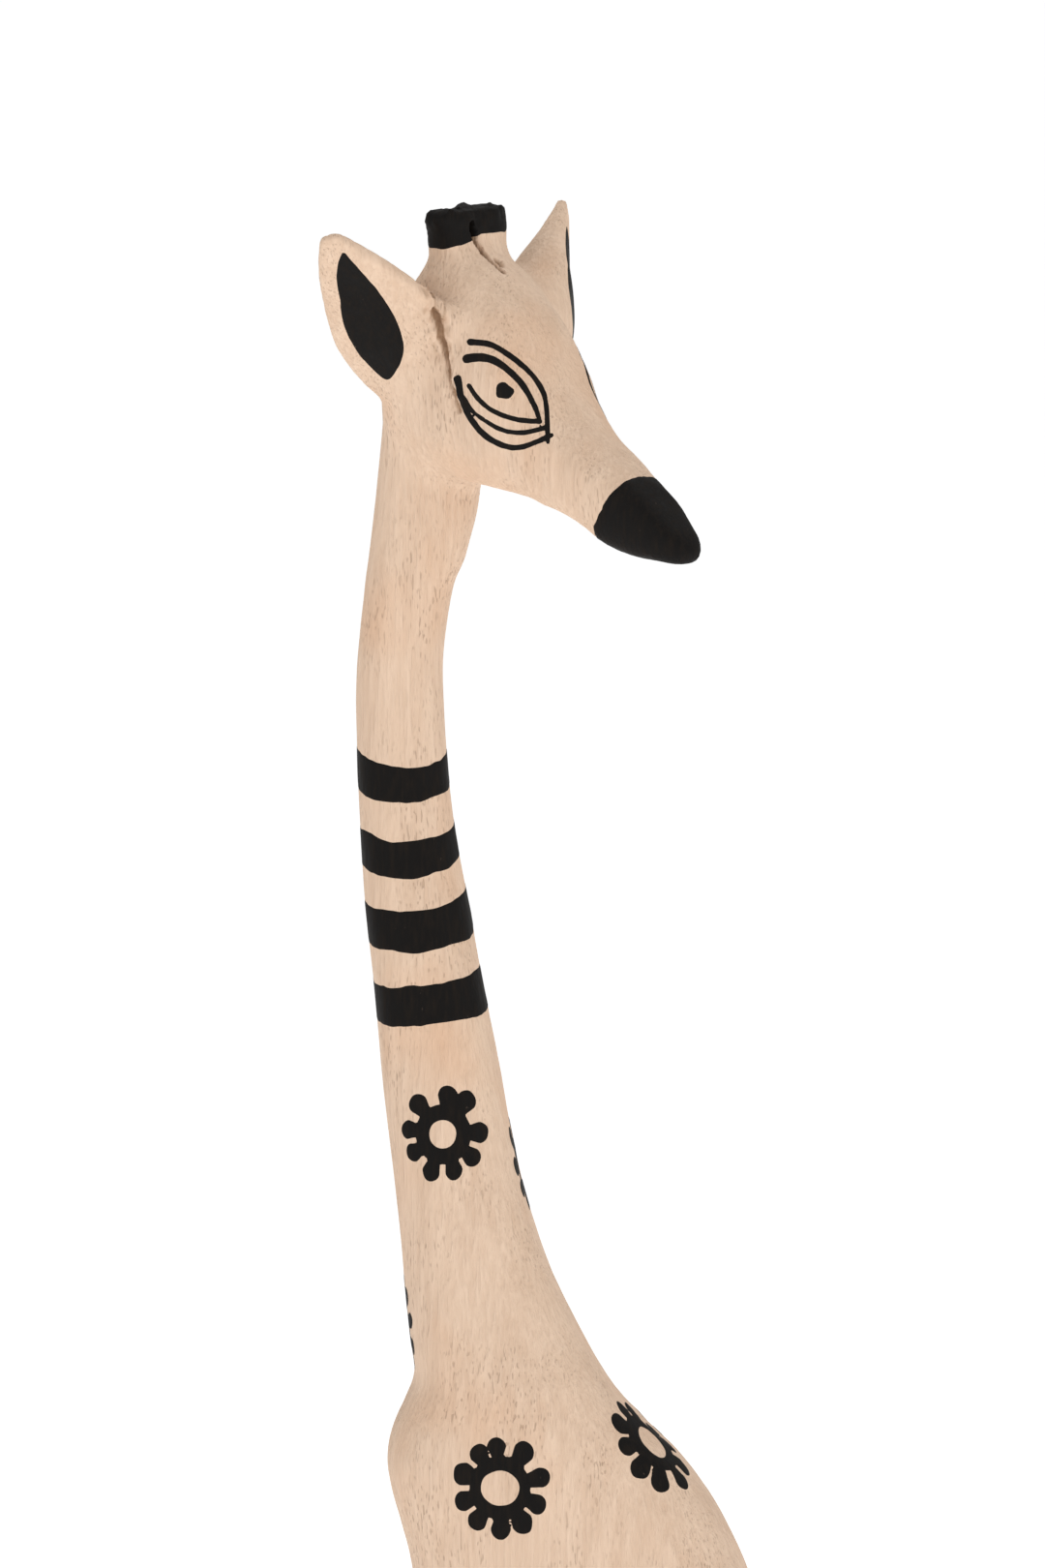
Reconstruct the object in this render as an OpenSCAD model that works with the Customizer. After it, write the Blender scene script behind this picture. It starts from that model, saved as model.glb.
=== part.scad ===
// Hand-carved giraffe statue that looks back over its own body.
// Neck, head, ears, horns and trunk are one billet. The four legs are carved apart,
// butted on the trunk's flat underside and held by dowels. The tail is pegged in.
// Millimetres, +Z up. Chest towards -X, tail towards +X, the head turns towards -Y.
// The origin is on the floor, under the middle of the statue's overall box.

/* [Overall] */
// Height from the floor to the horn tips
statue_h = 600; // [520:5:700]
// Height of the flat joint where the legs meet the trunk
joint_h = 228; // [190:1:260]
// Length of the trunk from chest to rump
trunk_l = 88; // [74:1:104]
// Width of the trunk
trunk_w = 52; // [44:1:62]

/* [Neck and head] */
// Thickness of the neck, side to side, at its slimmest
neck_w = 21; // [17:0.5:25]
// Length of the head from the back of the skull to the muzzle
head_l = 93; // [78:1:110]
// Width of the skull
skull_w = 31; // [26:0.5:38]
// Turn of the head from the line of the trunk, in degrees
head_turn = 42; // [25:1:60]
// Dip of the muzzle below level, in degrees
head_dip = 31; // [20:1:45]
// Length of an ear from its root to its tip
ear_l = 32.5; // [26:0.5:40]
// Width of an ear
ear_w = 30; // [24:0.5:36]
// Thickness of an ear at its middle
ear_t = 7; // [5:0.5:10]
// Height of the horns above the skull
horn_h = 14; // [10:0.5:18]

/* [Legs] */
// How far the front feet stand from the middle, towards the chest
front_foot_x = 31; // [24:0.5:38]
// How far the rear feet stand from the middle, towards the tail
rear_foot_x = 42; // [34:0.5:48]
// How far each foot stands from the centre line
foot_y = 20; // [16:0.5:26]
// Thickness of a shin at its slimmest
shin_d = 9; // [7:0.5:12]
// Width of a hoof at the floor
hoof_d = 14; // [11:0.5:18]

/* [Dowels and tail] */
// Diameter of a leg dowel
dowel_d = 6; // [4:0.5:8]
// Length of a leg dowel
dowel_l = 30; // [20:1:36]
// Length of the tail below its root
tail_l = 70; // [50:1:90]
// Diameter of the tail's peg
peg_d = 4; // [3:0.5:5]
// Length of the tail's peg
peg_l = 12; // [8:1:16]
// Gap between a dowel or peg and its bore, on the radius
bore_gap = 0.1; // [0.05:0.05:0.3]
// Gap left for glue past the end of a dowel or peg
end_gap = 0.5; // [0.2:0.1:1]

/* [Hidden] */

WOOD = "#E3C4A2";
PALE_WOOD = "#EBD3B6";
PAINT = "#1E1B19";

carving_h = statue_h - joint_h;

// The stations below are drawn for these sizes and stretched to the ones above.
drawn_carving_h = 372;
drawn_trunk_l = 88;
drawn_trunk_w = 52;
drawn_neck_w = 21;
drawn_head_l = 93;
drawn_skull_w = 31;
drawn_ear_l = 32.5;
drawn_ear_w = 30;

rise = carving_h / drawn_carving_h;
stretch = trunk_l / drawn_trunk_l;
breadth = trunk_w / drawn_trunk_w;
slimness = neck_w / drawn_neck_w;
head_scale = head_l / drawn_head_l;
skull_scale = skull_w / drawn_skull_w;

// Trunk: [height above the joint, chest x, back x, half width].
TRUNK = [
    [0, -31.5, 44, 20.5], [5, -33, 46, 24], [16, -33.5, 47, 26], [32, -33.5, 47, 26.5],
    [46, -34, 44.5, 26], [64, -35.5, 39.5, 25], [77, -38.5, 33, 24],
    [91, -41, 23, 22.5], [103, -36.5, 11, 20]
];

// Neck: [height above the joint, chest-side x, back-side x, half width, middle y].
NECK = [
    [112, -35, 5, 18, 0.5], [130, -37, -4, 16, 1.5], [156, -40, -12, 14, 3.5],
    [182, -43, -17, 13, 5], [208, -45.5, -22, 12, 7], [234, -47, -26.5, 11, 8.5],
    [260, -48, -28.5, 10.5, 10], [284, -46, -26.5, 10.5, 11],
    [302, -44, -21.5, 11, 11.5], [316, -42, -20, 10, 12]
];

// Head: [way along the muzzle, under side, top side, half width], from its middle.
HEAD = [
    [-22, -6, 15, 7], [-18, -14, 20, 12.5], [-8, -22, 22, 15], [4, -24.5, 21, 15.5],
    [14, -22, 18, 15], [24, -17, 12.5, 13.5], [34, -13, 9, 11], [44, -11, 7.5, 9.5],
    [54, -9.5, 7, 8.5], [63, -7, 5.5, 7], [69, -4, 3.5, 5], [72, -1.5, 1.5, 2.5]
];
// The head's middle: x, y and how far above the top of the neck.
head_middle = [-19.5, 0.5, 19.5];
neck_top = NECK[len(NECK) - 1][0];

// Ear: [way from root to tip, half width, share of the full thickness].
EAR = [
    [-8, 13, 1], [2, 15, 1], [9, 14, 0.95], [15, 11.5, 0.85], [21, 8.5, 0.7],
    [27, 5, 0.5], [30.5, 2.6, 0.35], [32.5, 0.6, 0.2]
];
// The ear's root and the way it points and faces, as [forward, up, out] from the head.
ear_root = [-12.7, 1.4, 18.3];
ear_reach = [-0.427, 0.635, 0.647];
ear_face = [0.63, -0.30, 0.713];

// The two horns are one short block: its root and lean in the same head axes, and
// [share of its height, half depth, half width].
horn_root = [-15, 16];
horn_reach = [-0.56, 0.83];
HORNS = [[-0.7, 7, 11], [0.2, 6, 10.4], [0.8, 5, 9.6], [1, 4, 8.8]];

// Leg: [share of the leg's height, share of the way to the foot, half length, half width].
FRONT_LEG = [
    [1, 0, 8, 7.5], [0.85, 0.12, 6.6, 6.2], [0.66, 0.35, 5.4, 5.2],
    [0.56, 0.5, 6.2, 5.8], [0.48, 0.55, 5.1, 4.9]
];
REAR_LEG = [
    [1, 0, 9.5, 8], [0.85, 0.5, 7.6, 6.6], [0.7, 0.95, 5.6, 5.2],
    [0.62, 1.15, 6.2, 5.6], [0.52, 1.1, 5.1, 4.9]
];
front_joint_x = -22.5 * stretch;
rear_joint_x = 34 * stretch;
joint_y = 14 * breadth;
fetlock_h = 24;
hoof_h = 14;
fetlock_swell = 1.15;

dowel_chamfer = 0.8;
dowel_bore_depth = dowel_l / 2 + end_gap;
dowel_bore_r = dowel_d / 2 + bore_gap;
peg_bore_r = peg_d / 2 + bore_gap;

// Tail: where its peg enters the rump, as a height above the joint and an x, and
// [x past the root, share of its drop, half thickness].
tail_root_rise = 34;
tail_root_x = 46.9;
TAIL = [
    [0, 0, 2.6], [1.2, 0, 2.8], [3, 0.01, 2.8], [5.2, 0.1, 2.4], [6, 0.35, 2],
    [6, 0.6, 2], [5.8, 0.78, 3], [5.4, 0.9, 2.8], [5, 1, 1]
];

ring_points = 24;
ear_ring_points = 16;
leg_ring_points = 20;
smoothing = 2;
leg_smoothing = 3;

head_forward = [
    cos(head_dip) * cos(head_turn), -cos(head_dip) * sin(head_turn), -sin(head_dip)
];
head_up = [
    sin(head_dip) * cos(head_turn), -sin(head_dip) * sin(head_turn), cos(head_dip)
];
head_right = [-sin(head_turn), -cos(head_turn), 0];

// A Catmull-Rom curve through a list of stations, with this many steps between two.
function clamp_index(list, i) = max(0, min(len(list) - 1, i));
function curve(a, b, c, d, t) =
    0.5 * (2 * b + (c - a) * t + (2 * a - 5 * b + 4 * c - d) * t * t
    + (3 * b - a - 3 * c + d) * t * t * t);
function smoothed(list, steps) = concat(
    [
        for (i = [0:len(list) - 2]) for (j = [0:steps - 1])
        curve(
            list[clamp_index(list, i - 1)], list[i],
            list[i + 1], list[clamp_index(list, i + 2)], j / steps
        )
    ],
    [list[len(list) - 1]]
);

// One ring of a rounded-square outline round a centre, along two directions.
function bend(value, power) = sign(value) * pow(abs(value), 2 / power);
function ring(centre, across, along, half_across, half_along, power, count) = [
    for (i = [0:count - 1])
    let (angle = 360 * (i + 0.5) / count)
    centre + across * half_across * bend(cos(angle), power)
    + along * half_along * bend(sin(angle), power)
];

// A closed skin over rings of points, with a flat cap at each end. The rings run the way
// that a turn from across to along points.
module skin(rings) {
    count = len(rings[0]);
    last = len(rings) - 1;
    polyhedron(
        points = [for (r = rings) for (p = r) p],
        faces = concat(
            [[for (i = [0:count - 1]) i]],
            [[for (i = [count - 1:-1:0]) last * count + i]],
            [
                for (k = [0:last - 1]) for (i = [0:count - 1])
                [k * count + i, (k + 1) * count + i, (k + 1) * count + (i + 1) % count]
            ],
            [
                for (k = [0:last - 1]) for (i = [0:count - 1])
                [k * count + i, (k + 1) * count + (i + 1) % count, k * count + (i + 1) % count]
            ]
        )
    );
}

function in_head(p) =
    [head_middle[0], head_middle[1], neck_top * rise + head_middle[2] * head_scale]
    + p[0] * head_forward + p[1] * head_up + p[2] * head_right;

// The trunk runs on into the neck as one skin.
module trunk_and_neck() {
    sections = concat(
        [for (s = TRUNK) [s[0], s[1] * stretch, s[2] * stretch, s[3] * breadth, 0]],
        [for (s = NECK) let (mid = (s[1] + s[2]) / 2, half = (s[2] - s[1]) / 2 * slimness)
            [s[0], mid - half, mid + half, s[3] * slimness, s[4]]]
    );
    skin([
        for (s = smoothed(sections, smoothing))
        ring(
            [(s[1] + s[2]) / 2, s[4], s[0] * rise], [1, 0, 0], [0, 1, 0],
            (s[2] - s[1]) / 2, s[3], 2.6, ring_points
        )
    ]);
}

module head() {
    skin([
        for (s = smoothed(HEAD, smoothing))
        ring(
            in_head([s[0] * head_scale, (s[1] + s[2]) / 2 * head_scale, 0]),
            head_up, head_right,
            (s[2] - s[1]) / 2 * head_scale, s[3] * skull_scale, 2.6, ring_points
        )
    ]);
}

// side is 1 for the right ear and -1 for the left.
module ear(side) {
    across = cross(ear_face, ear_reach);
    function turned(v) = v[0] * head_forward + v[1] * head_up + side * v[2] * head_right;
    root = in_head([ear_root[0], ear_root[1], side * ear_root[2] * skull_scale]);
    skin([
        for (s = smoothed(EAR, smoothing))
        ring(
            root + turned(ear_reach) * s[0] * ear_l / drawn_ear_l,
            turned(across) * side, turned(ear_face),
            s[1] * ear_w / drawn_ear_w, s[2] * ear_t / 2, 2, ear_ring_points
        )
    ]);
}

module horns() {
    skin([
        for (s = smoothed(HORNS, 2))
        ring(
            in_head([
                horn_root[0] + horn_reach[0] * horn_h * s[0],
                horn_root[1] + horn_reach[1] * horn_h * s[0], 0
            ]),
            horn_reach[0] * head_up - horn_reach[1] * head_forward, head_right,
            s[1], s[2] * skull_scale, 3, ear_ring_points
        )
    ]);
}

// Sections of one leg from the trunk's joint to the floor: [z, x, y, half length, half width].
function leg_sections(joint_x, foot_x, profile) = concat(
    [
        for (s = profile)
        [
            s[0] * joint_h, joint_x + (foot_x - joint_x) * s[1],
            joint_y + (foot_y - joint_y) * s[1], s[2], s[3]
        ]
    ],
    [
        [joint_h * 0.25, foot_x, foot_y, shin_d / 2, shin_d / 2],
        [fetlock_h, foot_x, foot_y, shin_d / 2 * fetlock_swell, shin_d / 2 * fetlock_swell],
        [hoof_h, foot_x, foot_y, (shin_d + hoof_d) / 4, (shin_d + hoof_d) / 4],
        [0, foot_x, foot_y, hoof_d / 2, hoof_d / 2]
    ]
);
function front_sections() = leg_sections(front_joint_x, -front_foot_x, FRONT_LEG);
function rear_sections() = leg_sections(rear_joint_x, rear_foot_x, REAR_LEG);

function leg_ring(s, side) = ring(
    [s[1], side * s[2], s[0]], [0, 1, 0], [1, 0, 0], s[4], s[3], 2.6, leg_ring_points
);

// side is -1 for the statue's right, which is towards -Y, and 1 for its left.
module leg(sections, side) {
    difference() {
        skin([for (s = smoothed(sections, leg_smoothing)) leg_ring(s, side)]);
        translate([sections[0][1], side * sections[0][2], joint_h - dowel_bore_depth])
            cylinder(h = dowel_bore_depth + 1, r = dowel_bore_r, $fn = 48);
    }
}

module main_carving() {
    color(WOOD)
    difference() {
        translate([0, 0, joint_h])
            resize([0, 0, carving_h])
            union() {
                trunk_and_neck();
                head();
                horns();
                for (side = [-1, 1]) ear(side);
            }
        for (side = [-1, 1], section = [front_sections()[0], rear_sections()[0]])
            translate([section[1], side * section[2], joint_h - 1])
                cylinder(h = dowel_bore_depth + 1, r = dowel_bore_r, $fn = 48);
        translate([tail_root_x * stretch + 2, 0, joint_h + tail_root_rise * rise])
            rotate([0, -90, 0]) cylinder(h = peg_l + end_gap + 2, r = peg_bore_r, $fn = 48);
    }
}

module leg_front_right() { color(PALE_WOOD) leg(front_sections(), -1); }
module leg_front_left() { color(PALE_WOOD) leg(front_sections(), 1); }
module leg_rear_right() { color(PALE_WOOD) leg(rear_sections(), -1); }
module leg_rear_left() { color(PALE_WOOD) leg(rear_sections(), 1); }

// A round dowel with chamfered ends, half in the leg and half in the trunk.
module dowel(section, side) {
    r = dowel_d / 2;
    color("#B98B5C")
    translate([section[1], side * section[2], joint_h - dowel_l / 2])
    rotate_extrude($fn = 48)
        polygon([
            [0, 0], [r - dowel_chamfer, 0], [r, dowel_chamfer], [r, dowel_l - dowel_chamfer],
            [r - dowel_chamfer, dowel_l], [0, dowel_l]
        ]);
}
module dowel_front_right() { dowel(front_sections()[0], -1); }
module dowel_front_left() { dowel(front_sections()[0], 1); }
module dowel_rear_right() { dowel(rear_sections()[0], -1); }
module dowel_rear_left() { dowel(rear_sections()[0], 1); }

// A bent switch of wood with a tuft, and a round peg that goes into the rump.
module tail() {
    root = [tail_root_x * stretch + end_gap, 0, joint_h + tail_root_rise * rise];
    path = smoothed([for (s = TAIL) [s[0], 0, -s[1] * tail_l, s[2]]], smoothing);
    color(PAINT)
    union() {
        skin([
            for (i = [0:len(path) - 1])
            let (
                before = path[max(0, i - 1)],
                after = path[min(len(path) - 1, i + 1)],
                way = [after[0] - before[0], 0, after[2] - before[2]],
                along = way / norm(way)
            )
            ring(
                root + [path[i][0], 0, path[i][2]], cross([0, 1, 0], along), [0, 1, 0],
                path[i][3], path[i][3], 2, ear_ring_points
            )
        ]);
        translate(root + [0.5, 0, 0]) rotate([0, -90, 0])
            cylinder(h = peg_l + 0.5, r = peg_d / 2, $fn = 48);
    }
}

main_carving();
leg_front_right();
leg_front_left();
leg_rear_right();
leg_rear_left();
dowel_front_right();
dowel_front_left();
dowel_rear_right();
dowel_rear_left();
tail();
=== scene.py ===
"""The looks of a tall carved giraffe statue with painted bands and flowers."""

import math

import bpy
import numpy as np
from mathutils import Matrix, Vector


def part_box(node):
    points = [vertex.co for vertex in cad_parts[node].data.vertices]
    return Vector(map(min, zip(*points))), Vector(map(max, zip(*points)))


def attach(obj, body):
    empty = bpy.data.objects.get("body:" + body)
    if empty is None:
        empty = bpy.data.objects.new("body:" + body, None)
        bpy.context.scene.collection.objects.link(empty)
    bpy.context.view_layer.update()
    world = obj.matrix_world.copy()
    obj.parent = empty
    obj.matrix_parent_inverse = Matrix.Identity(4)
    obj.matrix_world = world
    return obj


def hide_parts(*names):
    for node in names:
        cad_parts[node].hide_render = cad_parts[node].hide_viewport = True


bl_info = {
    "name": "Carved giraffe statue",
    "version": (1, 0, 0),
    "blender": (4, 5, 0),
    "location": "View3D > Sidebar > Statue",
    "description": "Builds the carved and painted pieces of a giraffe statue, its materials and its stage",
    "category": "Object",
}

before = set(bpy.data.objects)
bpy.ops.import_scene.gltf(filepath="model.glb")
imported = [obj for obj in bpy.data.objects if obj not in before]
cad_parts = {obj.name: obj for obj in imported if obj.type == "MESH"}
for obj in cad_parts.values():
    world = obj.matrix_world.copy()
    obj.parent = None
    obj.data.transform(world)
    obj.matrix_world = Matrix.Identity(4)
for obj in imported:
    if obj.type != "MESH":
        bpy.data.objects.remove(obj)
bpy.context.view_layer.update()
JOINT_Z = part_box("main_carving")[0][2] * 1000
TOP_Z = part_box("main_carving")[1][2] * 1000

# Shapes are worked out in millimetres, with the chest towards -X and the floor at z = 0.
# Head axes: forward along the muzzle, up through the forehead, right towards the right ear.
TURN = math.radians(42)
DIP = math.radians(31)
HEAD_MIDDLE = np.array([-19.5, 0.5, TOP_Z - 36.5])
FORWARD = np.array(
    [math.cos(DIP) * math.cos(TURN), -math.cos(DIP) * math.sin(TURN), -math.sin(DIP)]
)
UP = np.array([math.sin(DIP) * math.cos(TURN), -math.sin(DIP) * math.sin(TURN), math.cos(DIP)])
RIGHT = np.array([-math.sin(TURN), -math.cos(TURN), 0.0])

# Trunk and neck: [height, chest x, back x, half width, middle y].
BODY = [
    [JOINT_Z, -32.8, 45.3, 22.5, 0], [233, -33.6, 46.6, 25, 0], [244, -33.7, 47, 26.2, 0],
    [260, -33.5, 47, 26.5, 0], [276, -34, 44.5, 26, 0], [292, -35.5, 39.5, 25, 0],
    [302, -37.8, 35, 24.3, 0], [311, -40.2, 29.5, 23.5, 0], [318, -41, 23.8, 22.8, 0],
    [325, -39.3, 16.8, 22, 0], [330, -37, 12, 21.3, 0], [336, -35, 7.6, 20.3, 0],
    [345, -36, 2.4, 19, 0.5], [358, -37.3, -3.9, 17.3, 1.2], [371, -38.4, -8.6, 16, 2],
    [384, -39.9, -12, 15, 3], [410, -42.9, -17, 13.5, 5], [436, -45.5, -22, 12.3, 7],
    [462, -47.2, -26.4, 11.2, 8.8], [488, -47.9, -28.4, 10.6, 10],
    [501, -47.4, -28.2, 10.5, 10.5], [513, -46.2, -26.2, 10.7, 11],
    [520, -45.2, -23.7, 10.9, 11.5], [532, -43.6, -20.8, 10.8, 12], [546, -42.2, -20, 10, 12],
    [553, -41.6, -20.5, 9.6, 10.5], [560, -40, -21.5, 8.4, 8.5], [566, -37, -24, 6, 7],
]
# How square the sections are. Below the square top the trunk's grow squarer still.
BODY_ROUNDING = 2.7
BODY_SQUARE_TOP = 264
# Head: [forward, under side, top side, half width].
HEAD = [
    [-22, -6, 15, 7], [-18, -14, 21, 12.5], [-10, -21, 22.4, 15], [0, -24.6, 21.2, 15.5],
    [9, -23, 19.2, 15.2], [18, -19.4, 14.8, 14.2], [27, -15.4, 9.8, 12.2],
    [36, -12.4, 7.3, 10.8], [45, -10.6, 7, 9.6], [53, -10.1, 6.8, 8.4],
    [61, -7.8, 5.6, 7.2], [68, -4.2, 3.9, 5.6], [71.5, -2.2, 2.2, 3.8], [73, -0.8, 0.9, 1.6],
]
# Ears, 1 the right and -1 the left: root, way to the tip and way it faces, as [forward, up, out].
EAR_ROOT = {1: np.array([-12.7, 1.4, 18.3]), -1: np.array([1.8, 7.5, 23.1])}
EAR_REACH = {1: np.array([-0.427, 0.635, 0.647]), -1: np.array([-0.792, 0.420, 0.442])}
EAR_FACE = {1: np.array([0.63, -0.30, 0.713]), -1: np.array([0.609, 0.496, 0.619])}
# Their sections: [way to the tip, middle across, half width, middle thickness, half thickness].
EAR = {
    1: [
        [-16, 0, 7, -0.5, 2.6], [-11, 0, 12, 0, 3.4], [-6, -0.3, 13.8, 0, 3.5],
        [2, -0.7, 14.6, 0, 3.5], [9, -0.9, 13.2, 0, 3.3], [15, -0.8, 11, 0, 3],
        [21, -0.4, 8.4, 0, 2.5], [27, 0, 5.2, 0, 1.8], [30.5, 0, 3.2, 0, 1.3], [32, 0, 1.8, 0, 0.8],
    ],
    -1: [
        [-9, 2, 5, -11, 4], [-5, 1, 8, -10, 6.5], [0, 0, 11, -8.8, 8.8], [5, 0, 12, -8.5, 9.4],
        [12, 0, 10.5, -7, 8], [19, 0, 8, -5, 5.9],
        [26, 0, 4.9, -2.6, 3.5], [32, 0, 2.7, -0.9, 1.8], [35.4, 0, 1.4, -0.3, 1],
    ],
}
# How deep each ear's face is hollowed.
EAR_DISH = {1: 1.3, -1: 0.2}
EAR_ROUNDING = 2.6
# The paint in an ear reaches this far up it, and is shortened from there by this much.
EAR_PAINT_TOP = 28
EAR_PAINT_SQUEEZE = {1: 1, -1: 1.3}
# Horns, one block with a split: root and lean as (forward, up), then
# [share of height, half depth, half width].
HORN_ROOT = (-15, 16)
HORN_REACH = (-0.56, 0.83)
HORN_HEIGHT = 14
HORNS = [[-0.7, 7, 9.8], [0.1, 5.8, 9.6], [0.6, 5.2, 10.3], [0.85, 4.9, 10.9], [1, 4.4, 10.4]]

# Legs: [height, share of the way from joint to foot, half length, half width], then their x at
# the joint and at the foot. All four end alike.
HOOF = [[57, 1, 4.5, 4.5], [24, 1, 5.2, 5.2], [14, 1, 5.8, 5.8], [0, 1, 7, 7]]
FRONT_LEG = [
    [JOINT_Z, 0, 7.2, 6.8], [194, 0.12, 6.6, 6.2], [150, 0.35, 5.4, 5.2], [128, 0.5, 6.2, 5.8],
    [109, 0.55, 5.1, 4.9], *HOOF,
]
REAR_LEG = [
    [JOINT_Z, 0, 8.3, 7.2], [194, 0.5, 7.6, 6.6], [160, 0.95, 5.6, 5.2], [141, 1.15, 6.2, 5.6],
    [119, 1.1, 5.1, 4.9], *HOOF,
]
LEGS = {"front": (FRONT_LEG, -22.5, -31), "rear": (REAR_LEG, 34, 42)}
JOINT_Y = 14
FOOT_Y = 20

# Tail: [x, height, half thickness] down from its root. Its peg: the same, for its two ends.
PEG = [[36.2, 262, 1.9], [48.5, 262, 1.9]]
TAIL = [
    [47.4, 262, 2.6], [50.4, 261.4, 2.8], [52.6, 255, 2.4], [53.4, 237.5, 2], [53.4, 220, 2],
    [53.2, 207.4, 3], [52.8, 199, 2.8], [52.4, 192.4, 1.2],
]

# Neck bands: the top and bottom edges' heights at the chest, right side, back and left side.
BANDS = [
    [(477, 473.4, 476.1, 475), (468, 465.7, 468.3, 467)],
    [(459.5, 457, 460.3, 459), (451, 448.8, 453, 450.5)],
    [(443, 441.5, 445.8, 443), (434, 432.4, 436, 434.5)],
    [(425, 425, 428.2, 426), (416, 416.2, 418.6, 417)],
]
# Flowers: [x, y, z] near the surface, radius, hole's half width and half height, petals.
FLOWERS = [
    [(-28.6, -11, 392), 11.1, 3.3, 3.2, 9], [(-11.9, 5, 382.5), 10.9, 3.4, 3.4, 9],
    [(-37.5, 1, 347), 10.9, 3.4, 3.6, 9], [(-15.8, -22.7, 313.6), 12, 4.7, 4, 10],
    [(18.2, -10.6, 322), 12.8, 4.3, 4.4, 10], [(2, -27, 279), 11.2, 4, 4, 10],
    [(33, -26, 268), 11, 3.8, 3.8, 9], [(-20, -26, 260), 11, 3.8, 4, 10],
    [(13, -26, 246), 10.8, 3.8, 3.6, 9], [(-29, 16, 388), 10.8, 3.3, 3.4, 9],
    [(-14, 24, 316), 11.2, 4.3, 4, 10], [(17, 16, 321), 11, 3.8, 3.8, 9],
    [(-3, 26, 281), 11.2, 4, 3.8, 10], [(31, 25, 277), 11, 3.8, 4, 9],
    [(-22, 25, 258), 10.8, 3.7, 3.8, 9], [(14, 26, 248), 11, 3.9, 3.8, 10],
    [(-41, 15, 306), 10.8, 3.6, 3.8, 9], [(-34, 0, 262), 11, 3.8, 3.8, 9],
]
# Eye, drawn flat on a plane that faces forward, up and out: its axes as [forward, up, out].
EYE_ACROSS = np.array([0.637, 0.383, -0.669])
EYE_UPWARD = np.array([-0.590, 0.800, -0.103])
EYE_OUT = np.array([0.497, 0.461, 0.736])
# Strokes: start and end half thickness, then [across, upward] points.
EYE_STROKES = [
    (0.75, 0.5, [(-3, 5.4), (0.9, 5), (3.8, 3.7), (9.1, -0.3), (12.6, -4.6), (14, -9), (14.3, -17)]),
    (1.05, 0.5, [(-3.6, 1.7), (-0.7, 2), (2, 1.4), (5, -0.5), (8.7, -4.2), (11.4, -9), (12.5, -12.2)]),
    (0.5, 0.6, [(-3.2, -4.3), (-0.6, -7.8), (2.8, -10.3), (7.6, -11.9), (12.5, -12.4)]),
    (0.4, 0.6, [(-4.7, -6.4), (-2, -10.2), (2, -13.1), (5.4, -14.5), (9.2, -14.8), (13.9, -13.7)]),
    (0.75, 0.55, [
        (-5.5, -2.6), (-4.7, -7.6), (-2.2, -12.4), (1.1, -15.9), (5, -17.8), (9, -17.9), (15.1, -15.4),
    ]),
]
PUPIL = (4.8, -5.5)
PUPIL_HALF = 1.8
# Painted inside of an ear: [way to the tip, across] round its outline.
EAR_PAINT = [
    (28, -2), (25, 1), (20.3, 3.8), (15.2, 5.6), (8.9, 8), (1.5, 8.6), (-5.4, 7.4), (-8, 5.2),
    (-4.6, 0.2), (0.4, -3.2), (7.5, -4.4), (15.9, -4), (24.1, -2.7),
]
NOSE_EDGE = 51.2
HORN_PAINT_EDGE = 8.3
HORN_PAINT_REACH = 13
HORN_RAGGED_FROM = 9
HOOF_PAINT_TOP = 19
# A depth that is well outside any painted mark.
FAR_OUTSIDE = -9.0
# The tail's tuft: where its ridges start and the line that they run round.
TUFT_TOP = 218
TUFT_X = 53
TUFT_RIDGES = 7
# Torn crack where the right ear leaves the skull, and the split in the horns: [forward, up, right].
EAR_CRACK = [(-8.5, 17.5, 19.5), (-4.5, 12.6, 18.4), (-2.3, 8, 16), (2.6, 2.6, 15.3), (9.5, -3.4, 15)]
HORN_SPLIT = [
    (-23, 27, 3.6), (-18.5, 27.5, 3.6), (-15.6, 26, 3.4), (-13.7, 24, 2.3), (-11.5, 22.8, 1.4),
    (-8.6, 22.2, 1), (-5.8, 21.9, 0.4),
]
SPLIT_CHIP = (-9.1, 22.3, -0.9)
CRACK_HALF = 0.8
SPLIT_HALF = 0.9

# Only points above these heights can be on the head, or near its cracks.
HEAD_FROM = HEAD_MIDDLE[2] - 45
CRACKS_FROM = HEAD_MIDDLE[2] - 20
# Fillets where pieces of the carving run into each other.
HEAD_FILLET = 7
HORN_FILLET = 3
EAR_FILLET = 7
PEG_FILLET = 0.5
# Room round a dowel or peg in its bore.
PEG_ROOM = 0.1
SHARP_ANGLE = math.radians(55)

# Lights: name, place and width in metres, and power as a share of the key light's.
LIGHTS = [
    ("key_light", (-1.3, -1.7, 1.5), 1.2, 1), ("fill_light", (1.6, -1.4, 0.7), 1.6, 0.95),
    ("top_light", (0.2, 0.6, 2.2), 1.5, 1),
]
LIGHT_TARGET = (-0.02, 0, 0.45)
FLOOR_GREY = 0.93
FLOOR_GLOW = 0.62
# The camera looks at this point, in metres, from this many degrees above it.
VIEW_MIDDLE = (-0.0108, 0, 0.4696)
VIEW_TILT = 8
VIEW_END = 200


# ---------------- shapes, in mm
def eased(stations, steps=6):
    """A smooth curve through rows of numbers, sampled this many times between two."""
    rows = np.array(stations, float)
    rows = np.vstack([rows[:1], rows, rows[-1:]])
    t = np.arange(steps)[:, None] / steps
    parts = [
        0.5 * (2 * b + (c - a) * t + (2 * a - 5 * b + 4 * c - d) * t**2)
        + 0.5 * (3 * b - a - 3 * c + d) * t**3
        for a, b, c, d in zip(rows, rows[1:], rows[2:], rows[3:])
    ]
    return np.vstack(parts + [rows[-1:]])


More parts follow.
